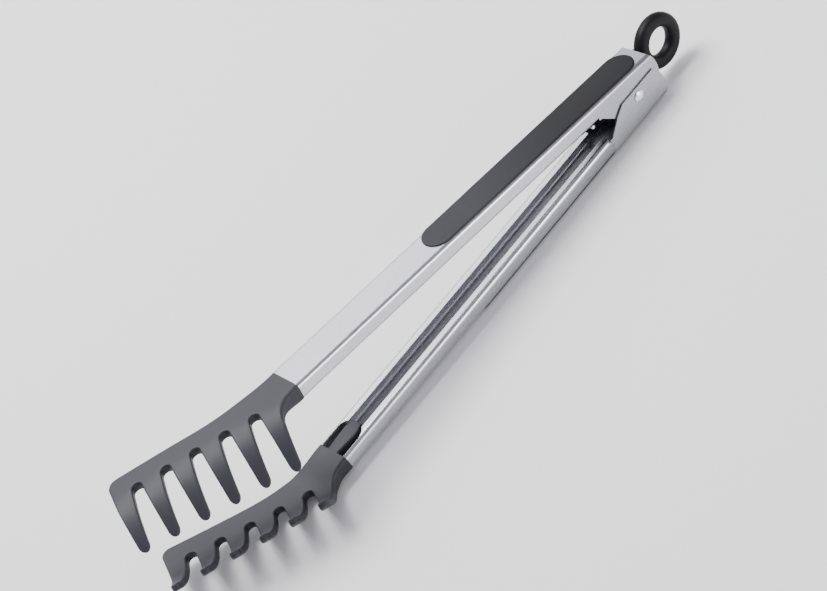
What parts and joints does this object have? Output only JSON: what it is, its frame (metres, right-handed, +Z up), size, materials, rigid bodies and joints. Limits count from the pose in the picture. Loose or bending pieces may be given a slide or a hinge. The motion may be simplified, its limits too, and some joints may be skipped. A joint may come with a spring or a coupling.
{
  "type": "spring loaded kitchen tongs",
  "caption": "Spring loaded kitchen tongs: two folded steel arms riveted at one end, soft grips, sideways comb heads with curled teeth, and a sliding lock with a pull ring.",
  "frame": {"origin": "on the flat outer face of the lower grip, at its middle, which is the face it rests on", "axes": "+X runs along the lower arm towards the pull ring, +Y runs along the rivet, away from the side that the teeth point to, +Z points up from the lower arm to the upper arm"},
  "size_m": [0.3561, 0.0672, 0.063],
  "materials": {
    "arm_steel": "satin stainless steel sheet",
    "pin_steel": "polished steel",
    "spring_steel": "drawn spring wire",
    "soft_grip": "fine matt soft touch rubber",
    "head_nylon": "fine matt moulded nylon",
    "lock_plastic": "satin moulded plastic",
    "bush_nylon": "natural nylon"
  },
  "bodies": {
    "lower_side": {"lower_arm": "arm_steel", "lower_grip": "soft_grip", "lower_head": "head_nylon", "pivot_rivet": "pin_steel", "rivet_washer": "pin_steel", "pivot_bush": "bush_nylon", "ear_washers": "bush_nylon", "torsion_spring": "spring_steel"},
    "upper_side": {"upper_arm": "arm_steel", "upper_grip": "soft_grip", "upper_head": "head_nylon"},
    "lock": {"lock_slide": "lock_plastic", "lock_pin": "pin_steel"}
  },
  "joints": [
    {"name": "arm_hinge", "type": "hinge", "parent": "lower_side", "child": "upper_side", "pos_m": [0.06, 0, 0.0141], "axis": [0, 1, 0], "range_deg": [-3.9, 8], "stiffness_Nm_per_rad": 6, "deforming": ["torsion_spring"]},
    {"name": "lock_pull", "type": "slide", "parent": "upper_side", "child": "lock", "axis": [0.9895, 0, -0.1444], "range_m": [0, 0.009]}
  ]
}
